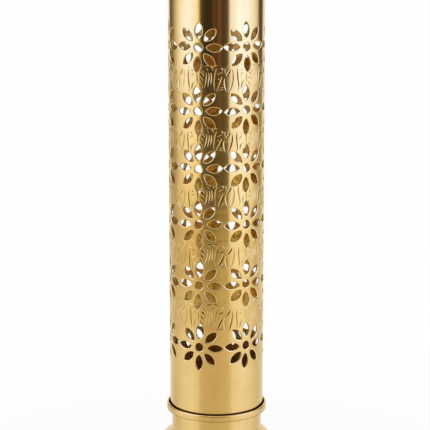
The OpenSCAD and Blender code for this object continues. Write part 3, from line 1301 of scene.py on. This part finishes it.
@dataclass
class Fasteners:
    """The steel screws, washers and nuts."""

    pitch: float = 0.8
    thread_sides: int = 32
    thread_part: float = 0.8  # of a sharp thread's depth
    levels_a_turn: int = 6
    head_sides: int = 64
    head_edge: float = 0.45
    slot_reach: float = 3.0  # head radii, so that the slot runs right across
    overlap: float = 0.02
    washer_edge: float = 0.15
    cone_out: float = 2.0
    cone_slope: float = 0.55
    cone_past: float = 0.01
    steel: bpy.types.Material = field(init=False)

    def __post_init__(self) -> None:
        """Makes the steel that they share."""
        self.steel = Steel("fastener_steel", ring_pitch=0.15, ring_height=0.002).material()

    def threaded(self, name: str, radius: float, low: float, high: float) -> bpy.types.Object:
        """A closed rod with a helical thread.

        Args:
            name: the rod's name.
            radius: over the thread's crests.
            low: the height of its lower end.
            high: the height of its upper end.

        Returns:
            The rod.
        """
        sides, depth = self.thread_sides, 0.5 * self.pitch
        levels = max(2, round((high - low) / (self.pitch / self.levels_a_turn)))
        shape = bmesh.new()
        rings = []
        for level in range(levels + 1):
            height = low + (high - low) * level / levels
            ease = min(1.0, (height - low) / self.pitch, (high - height) / self.pitch)
            ring = []
            for side in range(sides):
                phase = (height / self.pitch - side / sides) % 1.0
                r = radius - depth * (1.0 - abs(2.0 * phase - 1.0) * max(0.0, ease)) * self.thread_part
                angle = 2 * math.pi * side / sides
                place = (r * MM * math.cos(angle), r * MM * math.sin(angle), height * MM)
                ring.append(shape.verts.new(place))
            rings.append(ring)
        Workshop.skin(shape, rings)
        Workshop.cap(shape, rings)
        mesh = Workshop.mesh(name, shape)
        Workshop.smooth(mesh, sharp=60.0)
        return Workshop.add(name, mesh, self.steel)

    def slotted(self, name: str, node: str, body: str, shank: float, head: float, slot: Point,
                facing: Facing = Facing.UP) -> bpy.types.Object:
        """A slotted screw with a thread on its shank.

        Args:
            name: the piece's name.
            node: the CAD node that it stands for.
            body: the body it rides on.
            shank: the shank's radius.
            head: the head's height.
            slot: the slot's width and depth.
            facing: where the head is.

        Returns:
            The screw.
        """
        radius, low, high = node_size(node)
        sign = facing.value
        top, tip = (high, low) if facing is Facing.UP else (low, high)
        neck = top - sign * head
        bottom, above = sorted((neck, top))
        outline = Outline().to((0.0, bottom), (radius, bottom), (radius, above), (0.0, above))
        piece = Workshop.turn(name, outline.rounded(self.head_edge), self.steel, self.head_sides)
        block = bmesh.new()
        size = Matrix.Diagonal((self.slot_reach * radius * MM, slot[0] * MM, 2 * slot[1] * MM, 1.0))
        bmesh.ops.create_cube(block, size=1.0, matrix=Matrix.Translation((0, 0, top * MM)) @ size)
        Workshop.cut(piece, Workshop.add("slot", Workshop.mesh("slot", block)))
        ends = sorted((neck - sign * self.overlap, tip))
        self.merge(piece, self.threaded("thread", shank, *ends))
        return Workshop.mount(piece, body, "steel", node)

    @staticmethod
    def merge(piece: bpy.types.Object, other: bpy.types.Object) -> None:
        """Adds another object's mesh to a piece and deletes the other.

        Args:
            piece: the piece.
            other: the other object.
        """
        both = bmesh.new()
        both.from_mesh(piece.data)
        both.from_mesh(other.data)
        both.to_mesh(piece.data)
        both.free()
        bpy.data.objects.remove(other)
        Workshop.smooth(piece.data, sharp=35.0)

    def washer(self, name: str, node: str, body: str, hole: float) -> bpy.types.Object:
        """Makes a round washer with its edges rounded off.

        Args:
            name: the piece's name.
            node: the CAD node that it stands for.
            body: the body it rides on.
            hole: the hole's radius.

        Returns:
            The washer.
        """
        outer, bottom, top = node_size(node)
        outline = Outline().to((hole, bottom), (outer, bottom), (outer, top), (hole, top))
        outline = outline.rounded(self.washer_edge, steps=3)
        piece = Workshop.turn(name, outline, self.steel, self.head_sides)
        return Workshop.mount(piece, body, "steel", node)

    def nut(self, name: str, node: str, body: str, hole: float) -> bpy.types.Object:
        """Makes a hexagon nut, chamfered as a real one is by cutting it with a cone at each end.

        Args:
            name: the piece's name.
            node: the CAD node that it stands for.
            body: the body it rides on.
            hole: the hole's radius.

        Returns:
            The nut.
        """
        across, bottom, top = node_size(node)
        shape = bmesh.new()
        middle = Matrix.Translation((0, 0, (bottom + top) / 2 * MM))
        turned = middle @ Matrix.Rotation(math.radians(90), 4, "Z")
        bmesh.ops.create_cone(shape, cap_ends=True, segments=6, radius1=across * MM, radius2=across * MM,
                              depth=(top - bottom) * MM, matrix=turned)
        piece = Workshop.add(name, Workshop.mesh(name, shape), self.steel)
        flat = across * math.cos(math.pi / 6)
        wide = across + self.cone_out
        drop = (across - flat + self.cone_out) * self.cone_slope
        low, high = bottom - self.cone_past, top + self.cone_past
        barrel = Outline().to((hole, low), (flat, low), (wide, bottom + drop),
                              (wide, top - drop), (flat, high), (hole, high))
        lathe = Workshop.turn("nut_envelope", barrel, self.steel, 48)
        step = piece.modifiers.new("chamfer", "BOOLEAN")
        step.operation, step.solver, step.object = "INTERSECT", "EXACT", lathe
        Workshop.plain(piece)
        bpy.data.objects.remove(lathe)
        Workshop.smooth(piece.data, sharp=25.0)
        piece.data.materials.clear()
        piece.data.materials.append(self.steel)
        return Workshop.mount(piece, body, "steel", node)


@dataclass
class AshTray:
    """The dish inside the neck, with the holder that the sticks stand in."""

    wall: float = 1.0
    dish_radius: float = 21.6
    stick_radius: float = 1.1
    stick_depth: float = 7.0
    ring_radius: float = 4.6
    ring_sticks: int = 4
    ring_turn: float = 45.0
    sink: float = 0.5
    drilled_past: float = 1.0
    holder_edge: float = 1.5
    screw_radius: float = 1.5
    screw_length: float = 2.6
    screw_head: float = 1.6
    screw_slot: Point = (0.8, 0.7)

    def dish(self) -> bpy.types.Object:
        """Makes the dish, hung by its flange, with a rolled edge.

        Returns:
            The dish.
        """
        flange, bottom, top = node_size("ash_tray")
        outer, inner, hole = self.dish_radius, self.dish_radius - self.wall, self.screw_radius
        floor, under = bottom + self.wall, top - self.wall
        outline = Outline().to((hole, bottom), (outer, bottom), (outer, under), (flange, under),
                               (flange, top), (inner, top), (inner, floor), (hole, floor))
        # painted shade towards the dish's floor
        shade_bands = (Band(floor, 0.3, 2.5),)
        finish = Brass("tray_brass", clean=(0.46, 0.31, 0.11), warm=(0.33, 0.21, 0.07), roughness=0.34,
                       shade_bands=shade_bands, specks=0.8, unevenness=0.05)
        piece = Workshop.turn("ash_dish", outline.rounded(0.4), finish.material(), 128)
        return Workshop.mount(piece, "tray", "smoked_brass", "ash_tray")

    def holder(self) -> bpy.types.Object:
        """Makes the boss, with its middle hole and its ring of holes countersunk.

        Returns:
            The boss.
        """
        radius, bottom, top = node_size("stick_holder")
        edge = self.holder_edge
        outline = Outline().to((0.0, bottom), (radius, bottom))
        outline.bend((radius - edge, top - edge), (edge, edge), 0, 90, 8).to((0.0, top))
        # painted shade where the boss sits on the dish
        finish = Brass("holder_brass", clean=(0.62, 0.43, 0.16), roughness=0.22, specks=0.6,
                       shade_bands=(Band(bottom, 0.3, 0.8),))
        piece = Workshop.turn("stick_boss", outline, finish.material(), 96)
        places = [(0.0, 0.0)]
        for i in range(self.ring_sticks):
            angle = math.radians(self.ring_turn + 360 * i / self.ring_sticks)
            places.append((self.ring_radius * math.cos(angle), self.ring_radius * math.sin(angle)))
        drills = [self.drill(x, y, top) for x, y in places]
        bore, low, high = self.screw_radius, bottom - self.drilled_past, bottom + self.screw_length
        screw = Outline().to((0.0, low), (bore, low), (bore, high), (0.0, high))
        drills.append(Workshop.turn("screw_hole", screw, finish.material(), 32))
        Workshop.cut(piece, *drills)
        return Workshop.mount(piece, "tray", "turned_brass", "stick_holder")

    def drill(self, x: float, y: float, top: float) -> bpy.types.Object:
        """Makes a drill with a countersink.

        Args:
            x: its place from left to right, in millimetres.
            y: its place from front to back.
            top: the height of the surface that it goes into.

        Returns:
            The drill.
        """
        radius, tip = self.stick_radius, top - self.stick_depth
        wide, above = radius + self.sink, top + self.drilled_past
        outline = Outline().to((0.0, tip), (radius, tip), (radius, top - self.sink),
                               (wide, top), (wide, above), (0.0, above))
        made = Workshop.turn("drill", outline, None, 28)
        made.data.transform(Matrix.Translation((x * MM, y * MM, 0.0)))
        return made

    def build(self, fasteners: Fasteners) -> None:
        """Makes every piece of the tray.

        Args:
            fasteners: makes the screw.
        """
        self.dish()
        self.holder()
        fasteners.slotted("holder_screw_slotted", "holder_screw", "tray", self.screw_radius,
                          self.screw_head, self.screw_slot, Facing.DOWN)


@dataclass
class Lid:
    """The lid's sleeve, edge ring and dome, and the finial on top."""

    sleeve_wall: float = 1.3
    dome_wall: float = 1.4
    cap_radius: float = 7.0
    cap_out: float = 7.0
    cap_blend: float = 10.0
    cap_bore: float = 5.8
    cap_dip: float = 0.3
    skirt: float = 1.0
    stud_hole: float = 2.1
    reel_waist: float = 4.0
    reel_lip: float = 1.2
    tip_from: float = 60.0
    stem: float = 1.2
    bead: float = 1.6
    seam: float = 0.05
    knob_sunk: float = 1.2
    nut_hole: float = 1.95

    def sleeve(self) -> bpy.types.Object:
        """Makes the short sleeve that plugs into the tube.

        Returns:
            The sleeve.
        """
        outer, bottom, top = node_size("lid_sleeve")
        inner = outer - self.sleeve_wall
        outline = Outline().to((inner, bottom), (outer, bottom), (outer, top), (inner, top))
        finish = Brass("sleeve_brass", clean=(0.50, 0.34, 0.12), warm=(0.38, 0.24, 0.08), roughness=0.3)
        piece = Workshop.turn("lid_sleeve_plug", outline.rounded(0.35), finish.material())
        return Workshop.mount(piece, "lid", "smoked_brass", "lid_sleeve")

    def ring(self) -> bpy.types.Object:
        """Makes the rounded ring that rests on the tube's top edge.

        Returns:
            The ring.
        """
        outer, bottom, top = node_size("lid_ring")
        inner, half = node_size("lid_sleeve")[0], (top - bottom) / 2
        outline = Outline().to((inner, bottom)).bend((outer - half, bottom + half), (half, half), -90, 90, 18)
        outline.to((inner, top))
        # painted shade along the ring's lower and upper edges, where it meets the tube and the dome
        finish = Brass("lid_ring_brass", ring_pitch=0.16, roughness=0.15,
                       shade_bands=(Band(bottom, 0.1, 0.4), Band(top, 0.1, 0.4)))
        piece = Workshop.turn("lid_edge_ring", outline, finish.material())
        return Workshop.mount(piece, "lid", "turned_brass", "lid_ring")

    def dome(self) -> bpy.types.Object:
        """Makes the dome, swept up to its small flat cap.

        Returns:
            The dome.
        """
        outer, bottom, top = node_size("lid_dome")
        sleeve_radius, _, sleeve_top = node_size("lid_sleeve")
        inner = sleeve_radius + self.seam
        bend, wall = bottom + self.skirt, self.dome_wall
        rise = top - bottom - self.cap_blend - self.cap_dip
        outline = Outline().to((inner, bottom), (outer, bottom))
        outline.bend((self.cap_radius, bend), (outer - self.cap_radius, rise), 0, 72, 36)
        outline.bend((self.cap_radius + self.cap_out, top), (self.cap_out, self.cap_blend),
                     261, 180, 24)
        outline.to((self.stud_hole, top), (self.stud_hole, top - wall), (self.cap_bore, top - wall))
        outline.bend((self.cap_bore, bend), (outer - self.cap_bore - wall, rise - wall), 90, 8, 36)
        outline.to((inner, sleeve_top))
        # painted shade along the dome's lower edge and round its top, where the reel sits
        finish = Brass("dome_brass", ring_pitch=0.25, shade_bands=(Band(bottom, 0.1, 0.5), Band(top, 0.1, 0.35)))
        piece = Workshop.turn("dome_cap", outline.rounded(0.3), finish.material())
        return Workshop.mount(piece, "lid", "polished_brass", "lid_dome")

    def reel(self) -> bpy.types.Object:
        """Makes the spool under the knob.

        Returns:
            The spool.
        """
        outer, bottom, top = node_size("finial_reel")
        half = (top - bottom) / 2
        outline = Outline().to((self.stud_hole, bottom), (outer, bottom))
        outline.bend((outer, bottom + half), (outer - self.reel_waist, half - self.reel_lip), 270, 90, 24)
        outline.to((outer, top), (self.stud_hole, top))
        # painted shade along the spool's lower and upper edges, where it meets the dome and the knob
        finish = Brass("reel_brass", ring_pitch=0.16, shade_bands=(Band(bottom, 0.1, 0.4), Band(top, 0.1, 0.4)))
        piece = Workshop.turn("finial_spool", outline.rounded(0.3), finish.material(), 128)
        return Workshop.mount(piece, "lid", "turned_brass", "finial_reel")

    def knob(self) -> bpy.types.Object:
        """Makes the ball that draws out into a stem with a bead on its end.

        Returns:
            The knob.
        """
        ball, bottom, top = node_size("finial_knob")
        middle = bottom + ball - self.knob_sunk
        start = ball * math.cos(math.radians(self.tip_from))
        start_z = middle + ball * math.sin(math.radians(self.tip_from))
        lean = math.acos(self.stem / self.bead)
        stem_top = top - self.bead - self.bead * math.sin(lean)
        under = math.degrees(math.asin((bottom - middle) / ball))
        outline = Outline().to((0.0, bottom))
        outline.bend((0.0, middle), (ball, ball), under, self.tip_from - 5, 40)
        outline.bend((start, stem_top), (start - self.stem, stem_top - start_z), 268, 180, 24)
        outline.bend((0.0, top - self.bead), (self.bead, self.bead), -math.degrees(lean), 90, 20)
        outline.points[-1] = (0.0, top)  # exactly on the axis
        # painted shade round the ball's foot, where it sits on the spool
        finish = Brass("knob_brass", ring_pitch=0.25, roughness=0.1, shade_bands=(Band(bottom, 0.1, 0.35),))
        piece = Workshop.turn("finial_ball", outline, finish.material(), 128)
        return Workshop.mount(piece, "lid", "polished_brass", "finial_knob")

    def stud(self, fasteners: Fasteners) -> bpy.types.Object:
        """Makes the threaded rod from the knob down through the dome."""
        piece = fasteners.threaded("finial_stud_threaded", *node_size("finial_stud"))
        return Workshop.mount(piece, "lid", "steel", "finial_stud")

    def build(self, fasteners: Fasteners) -> None:
        """Makes every piece of the lid.

        Args:
            fasteners: makes the stud, washer and nut.
        """
        self.sleeve()
        self.ring()
        self.dome()
        self.reel()
        self.knob()
        self.stud(fasteners)
        fasteners.washer("finial_washer_round", "finial_washer", "lid", self.stud_hole)
        fasteners.nut("finial_nut_hexagon", "finial_nut", "lid", self.nut_hole)


# --------------------------------------------------------------------------- the studio


@dataclass(frozen=True)
class Surround:
    """What reflections see in one ring round the tower: its distance, and the light by compass angle."""

    distance: float
    stops: tuple[tuple[float, Colour], ...]


NEAR = Surround(0.30, (
    (-180, (1.0, 1.0, 1.0)), (-145, (0.85, 0.84, 0.80)), (-115, (0.78, 0.75, 0.68)),
    (-85, (0.97, 0.96, 0.95)), (-60, (1.0, 1.0, 1.0)), (-44, (0.93, 0.88, 0.78)),
    (-37, (0.76, 0.68, 0.50)), (-20, (0.71, 0.62, 0.45)), (0, (0.70, 0.62, 0.45)),
    (24, (0.76, 0.69, 0.49)), (31, (0.84, 0.78, 0.60)), (38, (1.0, 0.99, 0.95)), (60, (1.08, 1.09, 1.20)),
    (85, (1.0, 0.98, 1.0)), (115, (0.78, 0.76, 0.72)), (145, (0.85, 0.84, 0.82)), (180, (1.0, 1.0, 1.0))))

MIDDLE = Surround(0.62, (
    (-180, (1.0, 1.0, 1.0)), (-110, (0.62, 0.56, 0.46)), (-70, (0.78, 0.66, 0.42)),
    (-46, (0.76, 0.63, 0.36)), (-38, (0.50, 0.42, 0.24)), (-6, (0.42, 0.35, 0.20)),
    (10, (0.60, 0.51, 0.30)), (26, (0.64, 0.54, 0.33)), (34, (1.05, 1.02, 0.88)),
    (55, (1.18, 1.18, 1.10)), (80, (1.0, 1.0, 0.92)), (110, (0.70, 0.68, 0.62)), (180, (1.0, 1.0, 1.0))))

WIDE = Surround(1.00, (
    (-180, (1.0, 1.0, 1.0)), (-150, (0.95, 0.92, 0.88)), (-138, (0.45, 0.42, 0.36)),
    (-118, (0.48, 0.45, 0.38)), (-100, (0.86, 0.83, 0.74)), (-76, (1.15, 1.14, 1.02)),
    (-48, (1.12, 1.08, 0.86)), (-42, (0.95, 0.80, 0.46)), (-36, (0.20, 0.17, 0.10)),
    (-20, (0.12, 0.105, 0.07)), (-6, (0.10, 0.085, 0.052)), (8, (0.15, 0.115, 0.065)),
    (16, (0.14, 0.12, 0.07)), (27, (0.22, 0.20, 0.13)), (33, (1.15, 1.20, 1.40)),
    (60, (1.28, 1.42, 1.90)), (90, (1.10, 1.15, 1.20)), (108, (0.72, 0.70, 0.62)),
    (118, (0.46, 0.43, 0.37)), (130, (0.42, 0.40, 0.34)), (146, (0.95, 0.92, 0.88)),
    (180, (1.0, 1.0, 1.0))))

FAR = Surround(3.00, (
    (-180, (1.0, 1.0, 1.0)), (-150, (0.98, 0.94, 0.90)), (-145, (0.15, 0.13, 0.12)),
    (-131, (0.20, 0.18, 0.15)), (-124, (0.36, 0.33, 0.26)), (-115, (0.64, 0.60, 0.50)),
    (-106, (0.90, 0.92, 1.00)), (-92, (1.20, 1.33, 1.90)), (-76, (1.26, 1.56, 2.70)),
    (-55, (1.24, 1.45, 2.25)), (-49, (1.20, 1.36, 2.00)), (-43, (1.15, 1.02, 0.66)),
    (-39, (0.34, 0.27, 0.14)), (-36, (0.09, 0.085, 0.065)), (-26, (0.043, 0.036, 0.029)),
    (-11, (0.050, 0.036, 0.025)), (-7, (0.145, 0.082, 0.042)), (-1, (0.080, 0.052, 0.027)),
    (8, (0.21, 0.105, 0.060)), (13, (0.080, 0.060, 0.042)), (24, (0.10, 0.09, 0.065)),
    (29, (0.34, 0.30, 0.26)), (32, (1.10, 1.20, 1.60)), (56, (1.26, 1.66, 3.10)),
    (80, (1.24, 1.56, 2.85)), (92, (1.18, 1.38, 2.15)), (104, (1.04, 1.12, 1.40)),
    (112, (0.86, 0.86, 0.82)), (122, (0.12, 0.11, 0.09)), (137, (0.11, 0.10, 0.09)),
    (146, (0.98, 0.94, 0.90))))


@dataclass
class Studio:
    """A white studio, and the room round it that only shows up in the brass."""

    camera_distance: float = 0.7598
    camera_height: float = 0.3168
    tilt: float = 11.64
    lens: float = 122.8
    shift: float = -0.0035
    white: float = 0.985
    floor_reach: float = 6.0
    room_lift: float = 0.0004
    room_opening: float = 0.06
    room_radius: float = 3.4
    room_height: float = 3.6
    room_sides: int = 96
    brightest: float = 3.2

    def camera(self) -> None:
        """Places the camera in front, looking a little down."""
        data = bpy.data.cameras.new("camera")
        data.lens = self.lens
        data.shift_x = self.shift
        made = bpy.data.objects.new("camera", data)
        made.location = (0.0, -self.camera_distance, self.camera_height)
        made.rotation_euler = (math.radians(90.0 - self.tilt), 0.0, 0.0)
        bpy.context.scene.collection.objects.link(made)
        bpy.context.scene.camera = made

    def world(self) -> None:
        """White light from all round."""
        world = bpy.data.worlds.new("white_studio")
        world.use_nodes = True
        graph = Graph(world.node_tree)
        light = graph.node("ShaderNodeBackground", None,
                           {"Color": WHITE, "Strength": self.white})
        graph.node("ShaderNodeOutputWorld", None, {"Surface": light.outputs[0]})
        bpy.context.scene.world = world

    def floor(self) -> None:
        """The white floor."""
        made = bpy.data.materials.new("floor_white")
        made.use_nodes = True
        graph = Graph(made.node_tree)
        shader = graph.node("ShaderNodeBsdfPrincipled", None, {
            "Base Color": (0.75, 0.75, 0.75, 1.0), "Roughness": 0.9, "Specular IOR Level": 0.0,
            "Emission Color": WHITE, "Emission Strength": 0.26})
        graph.node("ShaderNodeOutputMaterial", None, {"Surface": shader.outputs[0]})
        reach = self.floor_reach
        mesh = bpy.data.meshes.new("floor")
        corners = [(-reach, -reach, 0.0), (reach, -reach, 0.0), (reach, reach, 0.0), (-reach, reach, 0.0)]
        mesh.from_pydata(corners, [], [(0, 1, 2, 3)])
        Workshop.add("floor", mesh, made)

    def room_light(self) -> bpy.types.Material:
        """Makes the light of the room's floor and wall, by compass angle and distance.

        Returns:
            The material.
        """
        made = bpy.data.materials.new("room_light")
        made.use_nodes = True
        graph = Graph(made.node_tree)
        place = graph.node("ShaderNodeTexCoord").outputs["Object"]
        x, y, _ = graph.split(place)
        turn = x.angle_with(y * -1.0) * (0.5 / math.pi) + 0.5
        distance = x.length_with(y)

        def ring(surround: Surround) -> bpy.types.NodeSocket:
            """The light of one ring by compass angle, as a part of the brightest."""
            stops = [((angle + 180) / 360, tuple(part / self.brightest for part in light))
                     for angle, light in surround.stops]
            return graph.node("ShaderNodeValToRGB", {"stops": stops}, {"Fac": turn}).outputs["Color"]

        light = ring(NEAR)
        for within, beyond in zip((NEAR, MIDDLE, WIDE), (MIDDLE, WIDE, FAR)):
            part = distance.ramp(within.distance, beyond.distance)
            light = Brass.mix(graph, part, light, ring(beyond))
        glow = graph.node("ShaderNodeEmission", None, {"Color": light, "Strength": self.brightest})
        graph.node("ShaderNodeOutputMaterial", None, {"Surface": glow.outputs[0]})
        return made

    def room(self) -> None:
        """The room: a disc just over the floor and a round wall, seen only by reflections."""
        shape = bmesh.new()
        profile = [(self.room_opening, self.room_lift), (self.room_radius, self.room_lift),
                   (self.room_radius, self.room_height)]
        rings = [Workshop.ring(shape, radius, height, self.room_sides) for radius, height in profile]
        Workshop.skin(shape, rings, inwards=True)
        piece = Workshop.add("room", Workshop.mesh("room", shape), self.room_light())
        piece.visible_camera = False
        piece.visible_diffuse = False
        piece.visible_shadow = False

    def build(self) -> None:
        """Sets up the whole studio."""
        self.camera()
        self.world()
        self.floor()
        self.room()
        bpy.context.scene.view_settings.view_transform = "Standard"


def main() -> None:
    """Builds the studio and the tower, piece by piece."""
    logging.basicConfig(level=logging.INFO, format="%(message)s")
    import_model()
    Studio().build()
    fasteners = Fasteners()
    Base().build(fasteners)
    AshTray().build(fasteners)
    PiercedTube().build()
    Lid().build(fasteners)


if __name__ == "__main__":
    main()
